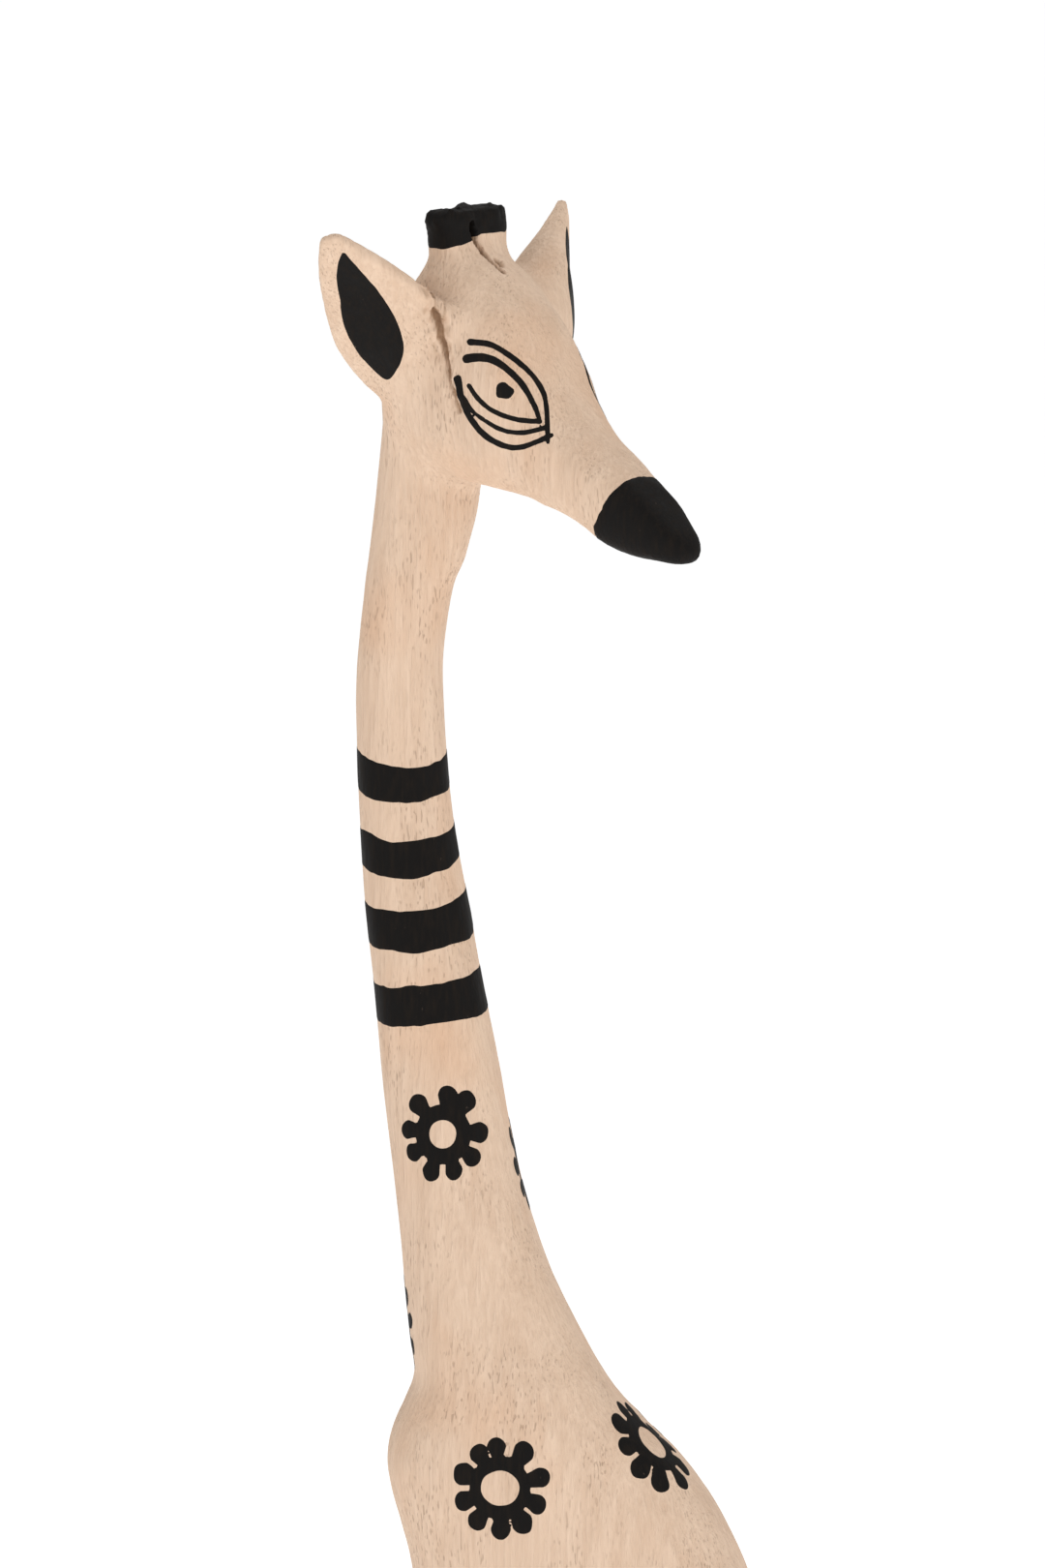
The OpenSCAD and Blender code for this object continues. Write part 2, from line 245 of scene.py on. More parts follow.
def bar(along, side, up, stations, power):
    """How far points are outside a bar with rounded-square sections.

    A station is [place along the bar, side middle, half side, up middle, half up].
    """
    curve = eased(stations)
    place = np.clip(along, curve[0, 0], curve[-1, 0])
    side_middle, half_side, up_middle, half_up = (
        np.interp(place, curve[:, 0], curve[:, k]) for k in (1, 2, 3, 4)
    )
    side = side - side_middle
    up = up - up_middle
    share = ((np.abs(side) / half_side) ** power + (np.abs(up) / half_up) ** power) ** (1 / power)
    length = np.hypot(side, up)
    outside = length - length / np.maximum(share, 1e-3)
    outside = np.where(share < 0.1, -0.9 * np.minimum(half_side, half_up), outside)
    return np.maximum(outside, np.maximum(along - curve[-1, 0], curve[0, 0] - along))


def merged(a, b, reach):
    """The union of two shapes, with a fillet about this big where they meet."""
    share = np.clip(0.5 + 0.5 * (b - a) / reach, 0, 1)
    return b * (1 - share) + a * share - reach * share * (1 - share)


def lumps(points, size, seed):
    """Smooth noise from -1 to 1. size is the size of its lumps along x, y and z."""
    cells = points / np.array(size, float)
    low = np.floor(cells).astype(np.int64)
    t = cells - low
    t = t * t * (3 - 2 * t)
    total = np.zeros(len(cells))
    for corner in range(8):
        step = np.array([corner & 1, corner >> 1 & 1, corner >> 2 & 1])
        key = (low + step) @ np.array([73856093, 19349663, 83492791]) + seed * 2654435761
        key = (key ^ key >> 13) * 1274126177 & 0xFFFFFFFF
        value = ((key ^ key >> 16) & 0xFFFF) / 32767.5 - 1
        total += value * np.prod(np.where(step, t, 1 - t), axis=1)
    return total


def head_place(points):
    """Forward, up and right of the head's middle."""
    d = points - HEAD_MIDDLE
    return np.stack([d @ FORWARD, d @ UP, d @ RIGHT], axis=1)


def from_head(place):
    return HEAD_MIDDLE + place[:, :1] * FORWARD + place[:, 1:2] * UP + place[:, 2:] * RIGHT


def ear_place(points, side):
    """Way to the tip, across and out of the face of the ear on one side: 1 right, -1 left."""
    d = head_place(points) * [1, 1, side] - EAR_ROOT[side]
    return d @ EAR_REACH[side], d @ np.cross(EAR_FACE[side], EAR_REACH[side]), d @ EAR_FACE[side]


def horn_height(points):
    place = head_place(points)
    return (place[:, 0] - HORN_ROOT[0]) * HORN_REACH[0] + (place[:, 1] - HORN_ROOT[1]) * HORN_REACH[1]


def body_rows():
    """The trunk and neck as [height, middle x, half length, middle y, half width]."""
    return [[s[0], (s[1] + s[2]) / 2, (s[2] - s[1]) / 2, s[4], s[3]] for s in BODY]


def body_shape(points):
    squarer = 2 * np.clip((BODY_SQUARE_TOP - points[:, 2]) / 30, 0, 1)
    return bar(points[:, 2], points[:, 0], points[:, 1], body_rows(), BODY_ROUNDING + squarer)


def head_shape(points):
    place = head_place(points)
    rows = [[s[0], 0, s[3], (s[1] + s[2]) / 2, (s[2] - s[1]) / 2] for s in HEAD]
    return bar(place[:, 0], place[:, 2], place[:, 1], rows, BODY_ROUNDING)


def ear_shape(points, side):
    along, across, out = ear_place(points, side)
    rows = EAR[side]
    half = np.interp(along, [row[0] for row in rows], [row[2] for row in rows])
    fades_in = np.clip(along / 10, 0, 1)
    fades_out = np.clip(2 - along / 16, 0, 1)
    dish = np.clip(1 - (across / half) ** 2, 0, 1) * fades_in * fades_out
    dish *= EAR_DISH[side] * np.clip(out / 1.5 + 1, 0, 1)
    return bar(along, across, out + dish, rows, EAR_ROUNDING)


def horn_shape(points):
    place = head_place(points)
    across = (place[:, 0] - HORN_ROOT[0]) * HORN_REACH[1] - (place[:, 1] - HORN_ROOT[1]) * HORN_REACH[0]
    rows = [[h[0] * HORN_HEIGHT, 0, h[1], 0, h[2]] for h in HORNS]
    return bar(horn_height(points), across, place[:, 2], rows, 3)


def carving_shape(points):
    out = body_shape(points)
    high = points[:, 2] > HEAD_FROM
    if high.any():
        p = points[high]
        part = merged(out[high], head_shape(p), HEAD_FILLET)
        part = merged(part, horn_shape(p), HORN_FILLET)
        for side in (1, -1):
            part = merged(part, ear_shape(p, side), EAR_FILLET)
        out[high] = part
    return np.maximum(out, JOINT_Z - points[:, 2])


def leg_shape(points, stations, joint_x, foot_x, side):
    rows = []
    for height, share, half_length, half_width in stations[::-1]:
        x = joint_x + (foot_x - joint_x) * share
        y = side * (JOINT_Y + (FOOT_Y - JOINT_Y) * share)
        rows.append([height, x, half_length, y, half_width])
    return bar(points[:, 2], points[:, 0], points[:, 1], rows, BODY_ROUNDING)


def line_distance(points, line):
    """Distance to a line through points, and how far along it the nearest place is, from 0 to 1."""
    path = eased(line, 5)
    start = path[:-1]
    way = path[1:] - start
    best = np.full(len(points), 1e9)
    share = np.zeros(len(points))
    for k in range(len(start)):
        t = np.clip((points - start[k]) @ way[k] / (way[k] @ way[k]), 0, 1)
        d = np.linalg.norm(points - start[k] - t[:, None] * way[k], axis=1)
        nearer = d < best
        best[nearer] = d[nearer]
        share[nearer] = (k + t[nearer]) / len(start)
    return best, share


def box_round(node, room=1):
    """The two corners of a node's box in mm, with this much room round it."""
    low, high = (np.array(corner) * 1000 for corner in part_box(node))
    return low - room, high + room


def peg_shape(points):
    across = np.hypot(points[:, 1], points[:, 2] - PEG[0][1]) - PEG[0][2]
    return np.maximum(across, np.maximum(PEG[0][0] - points[:, 0], points[:, 0] - PEG[1][0]))


def dowel_shape(points, node):
    low, high = box_round(node, 0)
    middle = (low + high) / 2
    across = np.hypot(points[:, 0] - middle[0], points[:, 1] - middle[1]) - (high[0] - low[0]) / 2
    return np.maximum(across, np.abs(points[:, 2] - middle[2]) - (high[2] - low[2]) / 2)


def tail_shape(points):
    flat = [(s[0], 0, s[1]) for s in TAIL]
    distance, share = line_distance(points, flat)
    half = np.interp(share, np.linspace(0, 1, len(TAIL)), [s[2] for s in TAIL])
    return merged(distance - half, peg_shape(points), PEG_FILLET)


# ---------------- meshes
def shifted(cell, axis, shift):
    """The index of cells moved back by a shift along the two axes other than this one."""
    near = cell.copy()
    near[:, [k for k in range(3) if k != axis]] -= shift
    return tuple(near.T)


def skin_over(shape, low, high, step):
    """A closed mesh of triangles over a shape, one point to each cell that it passes through."""
    axes = [np.arange(a - 2 * step, b + 2.5 * step, step) for a, b in zip(low, high)]
    size = [len(a) for a in axes]
    values = np.empty(size, np.float32)
    flat_y, flat_x = np.meshgrid(axes[1], axes[0])
    for k, z in enumerate(axes[2]):
        layer = np.stack([flat_x.ravel(), flat_y.ravel(), np.full(flat_x.size, z)], axis=1)
        values[:, :, k] = shape(layer).reshape(size[0], size[1])
    inside = values < 0
    total = np.zeros(size + [3])
    count = np.zeros(size)
    crossings = []
    for axis in range(3):
        here = [slice(None)] * 3
        there = [slice(None)] * 3
        here[axis] = slice(0, -1)
        there[axis] = slice(1, None)
        here, there = tuple(here), tuple(there)
        cell = np.argwhere(inside[here] != inside[there])
        after = cell.copy()
        after[:, axis] += 1
        a = values[tuple(cell.T)]
        b = values[tuple(after.T)]
        point = cell.astype(float)
        point[:, axis] += a / (a - b)
        crossings.append((axis, cell, inside[tuple(cell.T)]))
        for shift in ((0, 0), (0, 1), (1, 1), (1, 0)):
            near = shifted(cell, axis, shift)
            np.add.at(total, near, point)
            np.add.at(count, near, 1)
    used = count > 0
    index = np.full(size, -1, np.int64)
    index[used] = np.arange(used.sum())
    points = total[used] / count[used][:, None] * step + [a[0] for a in axes]
    faces = []
    for axis, cell, starts_inside in crossings:
        around = ((0, 0), (1, 0), (1, 1), (0, 1))
        ring = np.stack([index[shifted(cell, axis, shift)] for shift in around], axis=1)
        turned = starts_inside if axis != 1 else ~starts_inside
        ring[~turned] = ring[~turned][:, ::-1]
        faces += [ring[:, [0, 1, 2]], ring[:, [0, 2, 3]]]
    return points, np.vstack(faces)


def slope(points, shape):
    """The direction straight out of a shape, and how fast its value grows that way."""
    reach = 0.08
    parts = []
    for axis in range(3):
        step = np.zeros(3)
        step[axis] = reach
        parts.append((shape(points + step) - shape(points - step)) / (2 * reach))
    out = np.stack(parts, axis=1)
    steepness = np.maximum(np.linalg.norm(out, axis=1), 0.2)
    return out / steepness[:, None], steepness


def seated(points, shape, rounds=2):
    """Points moved straight onto a shape's surface."""
    for _ in range(rounds):
        out, steepness = slope(points, shape)
        step = np.clip(shape(points) / steepness, -0.6, 0.6)
        points = points - out * step[:, None]
    return points


def edges_of(faces):
    """Each edge's two ends once, and each face's three edges by number."""
    pairs = np.sort(faces[:, [0, 1, 1, 2, 2, 0]].reshape(-1, 2), axis=1)
    _, first, number = np.unique(
        pairs[:, 0].astype(np.int64) * 2**32 + pairs[:, 1], return_index=True, return_inverse=True
    )
    return pairs[first], number.reshape(-1, 3)


def split_faces(faces, face_edges, middle):
    """Faces cut at their chosen edges. middle gives each edge's new point, or -1 for none."""
    middles = middle[face_edges]
    marked = middles >= 0
    count = marked.sum(axis=1)
    out = [faces[count == 0]]
    recipes = {
        1: ((0, 3, 2), (3, 1, 2)),
        2: ((3, 1, 4), (0, 3, 4), (0, 4, 2)),
        3: ((0, 3, 5), (3, 1, 4), (5, 4, 2), (3, 4, 5)),
    }
    for wanted, recipe in recipes.items():
        rows = count == wanted
        some = marked[rows]
        first = some.argmax(axis=1) if wanted == 1 else (some.argmin(axis=1) + 1) % 3
        if wanted == 3:
            first = np.zeros(rows.sum(), int)
        turn = (first[:, None] + np.arange(3)) % 3
        six = np.hstack(
            [np.take_along_axis(faces[rows], turn, 1), np.take_along_axis(middles[rows], turn, 1)]
        )
        out += [six[:, list(corner)] for corner in recipe]
    return np.vstack(out)


def refined(points, faces, shape, wanted_length, rounds):
    """The mesh with its long edges halved until they suit wanted_length at each place."""
    for _ in range(rounds):
        ends, face_edges = edges_of(faces)
        a, b = points[ends[:, 0]], points[ends[:, 1]]
        halfway = (a + b) / 2
        chosen = np.linalg.norm(a - b, axis=1) > 1.45 * wanted_length(halfway)
        if not chosen.any():
            break
        middle = np.full(len(ends), -1)
        middle[chosen] = len(points) + np.arange(chosen.sum())
        points = np.vstack([points, seated(halfway[chosen], shape, 1)])
        faces = split_faces(faces, face_edges, middle)
    return points, faces


def cut_along(points, faces, depth):
    """The mesh cut where depth crosses 0, and which of its faces lie on the positive side."""
    value = depth(points)
    value[value == 0] = 1e-6
    ends, face_edges = edges_of(faces)
    for near, far in ((0, 1), (1, 0)):
        a, b = ends[:, near], ends[:, far]
        share = value[a] / np.where(value[a] == value[b], 1, value[a] - value[b])
        snap = (value[a] * value[b] < 0) & (share < 0.14)
        points[a[snap]] += (points[b[snap]] - points[a[snap]]) * share[snap][:, None]
        value[a[snap]] = 0
    a, b = ends[:, 0], ends[:, 1]
    crossed = value[a] * value[b] < 0
    share = value[a[crossed]] / (value[a[crossed]] - value[b[crossed]])
    middle = np.full(len(ends), -1)
    middle[crossed] = len(points) + np.arange(crossed.sum())
    new = points[a[crossed]] + (points[b[crossed]] - points[a[crossed]]) * share[:, None]
    faces = split_faces(faces, face_edges, middle)
    points = np.vstack([points, new])
    value = np.concatenate([value, np.zeros(len(new))])
    return points, faces, value, value[faces].sum(axis=1) > 0


# ---------------- paint, as depth inside its edge in mm
def body_angle(points):
    """Where points are round the trunk or neck: towards the back, towards the left, and twice round."""
    rows = eased(body_rows())
    x_middle, x_half, y_middle, y_half = (
        np.interp(points[:, 2], rows[:, 0], rows[:, k]) for k in range(1, 5)
    )
    angle = np.arctan2((points[:, 1] - y_middle) / y_half, (points[:, 0] - x_middle) / x_half)
    return np.cos(angle), np.sin(angle), np.cos(2 * angle)


def edge_height(heights, turn):
    chest, right, back, left = heights
    back_ward, left_ward, twice = turn
    mean = (chest + right + back + left) / 4
    swell = (chest + back - right - left) / 4
    return mean + (back - chest) / 2 * back_ward + (left - right) / 2 * left_ward + swell * twice


def band_paint(points):
    turn = body_angle(points)
    wobble = 0.45 * lumps(points, (5, 5, 9), 11) + 0.2 * lumps(points, (1.6, 1.6, 5), 12)
    depth = np.full(len(points), FAR_OUTSIDE)
    for top, bottom in BANDS:
        here = np.minimum(edge_height(top, turn) - points[:, 2], points[:, 2] - edge_height(bottom, turn))
        depth = np.maximum(depth, here)
    return depth + wobble


def flower_paint(points, centre, out, radius, hole_x, hole_z, petals, seed):
    """One flower: a ring with a hole, and a row of club-shaped petals round it."""
    side = np.cross([0, 0, 1], out)
    side /= np.linalg.norm(side)
    upward = np.cross(out, side)
    d = points - centre
    u, v = d @ side, d @ upward
    flat = np.maximum(np.hypot(u, v), 1e-6)
    reach = np.linalg.norm(d, axis=1)
    u, v = u / flat * reach / 0.92, v / flat * reach
    reach = np.hypot(u, v)
    rng = np.random.default_rng(seed)
    wobble = 0.25 * lumps(points, (2.2, 2.2, 2.2), seed)
    hole = np.hypot(u / hole_x, v / hole_z)
    depth = np.minimum(radius * 0.61 - reach, (hole - 1) * hole_x)
    start = math.pi / 2 + rng.uniform(-0.1, 0.1)
    for k in range(petals):
        angle = start + 2 * math.pi * (k + rng.uniform(-0.14, 0.14)) / petals
        length = radius * rng.uniform(0.75, 0.84)
        tip = rng.uniform(0.18, 0.22) * radius
        along = u * math.cos(angle) + v * math.sin(angle)
        across = -u * math.sin(angle) + v * math.cos(angle)
        t = np.clip((along - radius * 0.5) / (length - radius * 0.5), 0, 1)
        middle = radius * 0.5 + t * (length - radius * 0.5)
        here = tip * (0.52 + 0.48 * t) - np.hypot(along - middle, across)
        depth = np.maximum(depth, here)
    return depth + wobble


def stroke_paint(u, v, start, end, line):
    flat = np.stack([u, v, np.zeros(len(u))], axis=1)
    distance, share = line_distance(flat, [(x, y, 0) for x, y in line])
    return start + (end - start) * share - distance


def eye_paint(points, side):
    place = head_place(points) * [1, 1, side]
    u, v = place @ EYE_ACROSS, place @ EYE_UPWARD
    depth = np.full(len(points), FAR_OUTSIDE)
    near = (u > -9) & (u < 19) & (v > -22) & (v < 9) & (place[:, 2] > 3) & (place @ EYE_OUT > 3)
    u, v, p = u[near], v[near], points[near]
    best = PUPIL_HALF - np.hypot(u - PUPIL[0], v - PUPIL[1])
    best += 0.55 * lumps(p, (1.5, 1.5, 1.5), 21)
    for start, end, line in EYE_STROKES:
        best = np.maximum(best, stroke_paint(u, v, start, end, line))
    depth[near] = best + 0.09 * lumps(p, (1.3, 1.3, 1.3), 22)
    return depth


def ear_paint(points, side):
    along, across, out = ear_place(points, side)
    loop = eased(EAR_PAINT + EAR_PAINT[:1], 5)
    depth = np.full(len(points), FAR_OUTSIDE)
    near = (along > -14) & (along < 31) & (np.abs(across) < 13) & (out > -0.8)
    a = EAR_PAINT_TOP - (EAR_PAINT_TOP - along[near]) * EAR_PAINT_SQUEEZE[side]
    c = across[near]
    distance = np.full(len(a), 1e9)
    inside = np.zeros(len(a), bool)
    for (x0, y0), (x1, y1) in zip(loop[:-1], loop[1:]):
        wide, high = x1 - x0, y1 - y0
        t = np.clip(((a - x0) * wide + (c - y0) * high) / (wide**2 + high**2 + 1e-9), 0, 1)
        distance = np.minimum(distance, np.hypot(a - x0 - t * wide, c - y0 - t * high))
        spans = (y0 > c) != (y1 > c)
        if high:
            inside ^= spans & (a < x0 + (c - y0) / high * wide)
    depth[near] = np.where(inside, distance, -distance) + 0.12 * lumps(points[near], (2, 2, 2), 23)
    return depth


def carving_paint(points, flowers):
    depth = np.full(len(points), FAR_OUTSIDE)
    z = points[:, 2]
    near = (z > 405) & (z < 488)
    depth[near] = band_paint(points[near])
    for centre, out, rest in flowers:
        near = np.linalg.norm(points - centre, axis=1) < rest[0] + 3
        depth[near] = np.maximum(depth[near], flower_paint(points[near], centre, out, *rest))
    high = z > HEAD_FROM
    p = points[high]
    place = head_place(p)
    nose = place[:, 0] - NOSE_EDGE + 0.5 * lumps(p, (3.5, 3.5, 3.5), 31) + 0.2 * lumps(p, (1, 1, 1), 32)
    horns = horn_height(p) - HORN_PAINT_EDGE + 0.28 * np.maximum(place[:, 2] - 1, 0)
    horns += 0.4 * lumps(p, (2.2, 2.2, 2.2), 33)
    horns = np.where(np.abs(place[:, 2]) < HORN_PAINT_REACH, horns, FAR_OUTSIDE)
    best = np.maximum(nose, horns)
    for side in (1, -1):
        best = np.maximum(best, eye_paint(p, side))
        best = np.maximum(best, ear_paint(p, side))
    depth[high] = best
    return depth


# ---------------- knife work, cracks and thickness of paint
def crack_lines():
    """The torn crack and the split, as [line in space, half width, depth]."""
    torn = seated(from_head(np.array(EAR_CRACK, float)), carving_shape)
    split = from_head(np.array(HORN_SPLIT, float))
    return [(torn, CRACK_HALF, 2), (split, SPLIT_HALF, 3.4)]


def crack_depth(points, lines):
    """How deep the cracks are at points, and how torn the wood is round them."""
    depth = np.zeros(len(points))
    torn = np.zeros(len(points))
    high = points[:, 2] > CRACKS_FROM
    p = points[high]
    jag = 0.9 * lumps(p, (1.5, 1.5, 2), 41) + 0.4 * lumps(p, (0.6, 0.6, 0.9), 42)
    for line, half, deep in lines:
        distance, share = line_distance(p, line)
        open_here = half * (1.15 - 0.75 * share) + 0.35 * jag
        cut = deep * (1 - 0.6 * share) * np.clip((open_here - distance) / (0.6 * half) + 0.5, 0, 1)
        depth[high] = np.maximum(depth[high], cut)
        if half == CRACK_HALF:
            torn[high] = np.maximum(torn[high], np.exp(-((distance / 3.2) ** 2)) * (1 - 0.5 * share))
    chip = from_head(np.array([SPLIT_CHIP], float))[0]
    distance = np.linalg.norm((p - chip) @ np.stack([FORWARD * 0.75, UP, RIGHT * 1.3], 1), axis=1)
    depth[high] = np.maximum(depth[high], 1.6 * np.clip(1.5 + 0.4 * jag - distance, 0, 1))
    return depth, torn


def knife_marks(points):
    """Shallow flats and ridges left by the carver's knife, in mm."""
    flats = -0.5 * np.abs(lumps(points, (9, 9, 30), 51)) + 0.22
    ripples = 0.07 * lumps(points, (2.6, 2.6, 11), 52) + 0.03 * lumps(points, (1, 1, 6), 53)
    return flats + ripples


def bored(shape, pegs):
    """The shape with a hole for each of its pegs, a little wider than the peg."""
    def with_holes(points):
        out = shape(points)
        for peg in pegs:
            out = np.maximum(out, PEG_ROOM - peg(points))
        return out

    return with_holes


def torn_surface(points, lines):
    """How far the cracks and ragged horn tops move the surface, and a colour mask of painted shade in the
    cracks, with darker streaks round the right ear's crack.
    """
    depth, torn = crack_depth(points, lines)
    ragged = np.clip((horn_height(points) - HORN_RAGGED_FROM) / 3, 0, 1)
    ragged *= np.abs(head_place(points)[:, 2]) < HORN_PAINT_REACH
    ragged *= points[:, 2] > HEAD_MIDDLE[2] + 15
    move = torn * (1.1 * lumps(points, (1, 1, 3.2), 43) + 0.5 * lumps(points, (0.6, 0.6, 1.2), 44))
    move += ragged * (0.7 * lumps(points, (3, 3, 3), 45) + 0.3 * lumps(points, (1.2, 1.2, 1.2), 46))
    # Darker streaks in the colour round the right ear's crack.
    shreds = 0.6 * torn * np.clip(2 * lumps(points, (0.8, 0.8, 3), 47), 0, 1)
    # Painted shade: the deeper a crack, the split or the chip, the darker the colour there.
    return move - depth, np.clip(np.clip(depth / 1.1, 0, 1) + shreds, 0, 1)


def added(name, data):
    """A new object in the scene."""
    thing = bpy.data.objects.new(name, data)
    bpy.context.scene.collection.objects.link(thing)
    return thing


def mesh_object(name, points, faces, painted, crack_shade_and_streaks, finishes):
    """A Blender object from points in mm. painted faces take the second of its finishes."""
    mesh = bpy.data.meshes.new(name)
    mesh.from_pydata((points / 1000).tolist(), [], faces.tolist())
    mesh.polygons.foreach_set("use_smooth", np.ones(len(faces), bool))
    for finish in finishes:
        mesh.materials.append(finish)
    if len(finishes) > 1:
        mesh.polygons.foreach_set("material_index", painted.astype(np.int32))
    # A layer of painted shade for the cracks, with streaks round the ear's crack, read by the wood's
    # colour.
    layer = mesh.attributes.new("crack_shade_and_streaks", "FLOAT", "POINT")
    layer.data.foreach_set("value", crack_shade_and_streaks.astype(np.float32))
    mesh.set_sharp_from_angle(angle=SHARP_ANGLE)
    mesh.update()
    return added(name, mesh)


def carved_piece(name, outer, box, sizes, finishes, paint=None, lines=(), pegs=()):
    """One carved piece: its skin, fine places, cut paint edges, bores and knife marks."""
    shape = bored(outer, pegs)
    points, faces = skin_over(shape, box[0], box[1], sizes["step"])
    points = seated(points, shape, 3)
    if "length" in sizes:
        points, faces = refined(points, faces, shape, sizes["length"], sizes["rounds"])
    value = np.full(len(points), FAR_OUTSIDE)
    painted = np.zeros(len(faces), bool)
    if paint:
        points, faces, value, painted = cut_along(points, faces, paint)
    out, _ = slope(points, shape)
    move = knife_marks(points) * sizes["marks"]
    # Painted shade in the cracks, with streaks round the ear's crack; none where a piece has no cracks.
    crack_shade_and_streaks = np.zeros(len(points))
    if lines:
        torn, crack_shade_and_streaks = torn_surface(points, lines)
        move += torn
    move += sizes["film"] * np.clip(value / 0.25, 0, 1)
    in_bore = outer(points) < -0.6
    z = points[:, 2]
    at_end = (np.minimum(np.abs(z - JOINT_Z), np.abs(z)) < 0.4) & sizes["flat_ends"]
    move[at_end | in_bore] = 0
    return mesh_object(name, points + out * move[:, None], faces, painted, crack_shade_and_streaks, finishes)


# ---------------- materials
class Nodes:
    """Adds nodes to a tree and joins them up. An input called i3 is the node's input number 3."""

    def __init__(self, tree):
        self.tree = tree

    def add(self, kind, settings=None, **inputs):
        node = self.tree.nodes.new(kind)
        for key, value in (settings or {}).items():
            setattr(node, key, value)
        for key, value in inputs.items():
            self.feed(node.inputs[int(key[1:]) if key[1:].isdigit() else key], value)
        return node

    def feed(self, socket, value):
        if isinstance(value, bpy.types.NodeSocket):
            self.tree.links.new(value, socket)
        else:
            socket.default_value = value

    def math(self, how, a, b=0.0, clamp=False):
        node = self.add("ShaderNodeMath", {"operation": how, "use_clamp": clamp}, i0=a, i1=b)
        return node.outputs[0]

    def band(self, value, low, high, to_low=0.0, to_high=1.0):
        node = self.add("ShaderNodeMapRange", i0=value, i1=low, i2=high, i3=to_low, i4=to_high)
        return node.outputs[0]

    def noise(self, place, size, stretch, detail=2.0):
        """Noise with lumps of this size in metres, drawn out this many times along the grain."""
        moved = self.add("ShaderNodeMapping", Vector=place, Scale=(1, 1, 1 / stretch))
        node = self.add("ShaderNodeTexNoise", Vector=moved.outputs[0], Scale=1 / size, Detail=detail)
        return node.outputs["Fac"]

    def mix(self, share, a, b, how="MIX"):
        node = self.add("ShaderNodeMix", {"data_type": "RGBA", "blend_type": how}, i0=share, i6=a, i7=b)
        return node.outputs[2]


def new_group(name, inputs):
    """A node group with these inputs that puts out a colour, a roughness and a height."""
    tree = bpy.data.node_groups.new(name, "ShaderNodeTree")
    for label, kind, value in inputs:
        socket = tree.interface.new_socket(label, in_out="INPUT", socket_type=kind)
        socket.default_value = value
    for label, kind in (("Color", "Color"), ("Roughness", "Float"), ("Height", "Float")):
        tree.interface.new_socket(label, in_out="OUTPUT", socket_type="NodeSocket" + kind)
    nodes = Nodes(tree)
    given = tree.nodes.new("NodeGroupInput").outputs
    result = tree.nodes.new("NodeGroupOutput").inputs
    return tree, nodes, given, result


def grain_group():
    """Fine upright grain: soft streaks, open pores and warm blotches, for any wood here."""
    tree, n, given, result = new_group(
        "Carved grain",
        [
            ("Pale", "NodeSocketColor", (0.8, 0.6, 0.4, 1)),
            ("Deep", "NodeSocketColor", (0.6, 0.4, 0.25, 1)),
            ("Streaks", "NodeSocketFloat", 0.5),
            ("Pores", "NodeSocketFloat", 0.5),
            ("Blotches", "NodeSocketFloat", 0.5),
        ],
    )
    place = n.add("ShaderNodeTexCoord").outputs["Object"]
    fine = n.band(n.noise(place, 0.0009, 14, 3), 0.36, 0.66)
    broad = n.band(n.noise(place, 0.006, 7, 2), 0.38, 0.64)
    blotch = n.band(n.noise(place, 0.022, 1.6, 2), 0.52, 0.74)
    speck = n.band(n.noise(place, 0.0004, 5, 0), 0.66, 0.76)
    patch = n.band(n.noise(place, 0.012, 2, 1), 0.40, 0.62)
    pores = n.math("MULTIPLY", n.math("MULTIPLY", speck, patch), given["Pores"])
    streak = n.math("ADD", n.math("MULTIPLY", fine, 0.45), n.math("MULTIPLY", broad, 0.4))
    color = n.mix(n.math("MULTIPLY", streak, given["Streaks"], True), given["Pale"], given["Deep"])
    warm = n.math("MULTIPLY", blotch, given["Blotches"])
    color = n.mix(warm, color, (0.70, 0.43, 0.27, 1))
    color = n.mix(pores, color, (0.36, 0.23, 0.15, 1))
    n.feed(result["Color"], color)
    n.feed(result["Roughness"], n.band(fine, 0, 1, 0.68, 0.82))
    n.feed(result["Height"], n.math("SUBTRACT", n.math("MULTIPLY", fine, -0.6), pores))
    return tree


def brush_group():
    """Hand-brushed paint: streaks of the brush, thin places and small scuffs."""
    tree, n, given, result = new_group(
        "Brushed paint",
        [
            ("Paint", "NodeSocketColor", (0.01, 0.01, 0.01, 1)),
            ("Worn", "NodeSocketColor", (0.3, 0.2, 0.1, 1)),
            ("Wear", "NodeSocketFloat", 0.3),
        ],
    )
    place = n.add("ShaderNodeTexCoord").outputs["Object"]
    strokes = n.noise(place, 0.0011, 5, 3)
    thin = n.band(n.noise(place, 0.004, 2, 3), 0.62, 0.80)
    scuff = n.band(n.noise(place, 0.0008, 2, 2), 0.66, 0.74)
    wear = n.math("MULTIPLY", n.math("MULTIPLY", thin, scuff), given["Wear"])
    lift = n.mix(n.band(strokes, 0.45, 0.75, 0, 0.5), given["Paint"], (0.020, 0.014, 0.010, 1))
    n.feed(result["Color"], n.mix(wear, lift, given["Worn"]))
    n.feed(result["Roughness"], n.band(strokes, 0.3, 0.7, 0.55, 0.75))
    n.feed(result["Height"], strokes)
    return tree


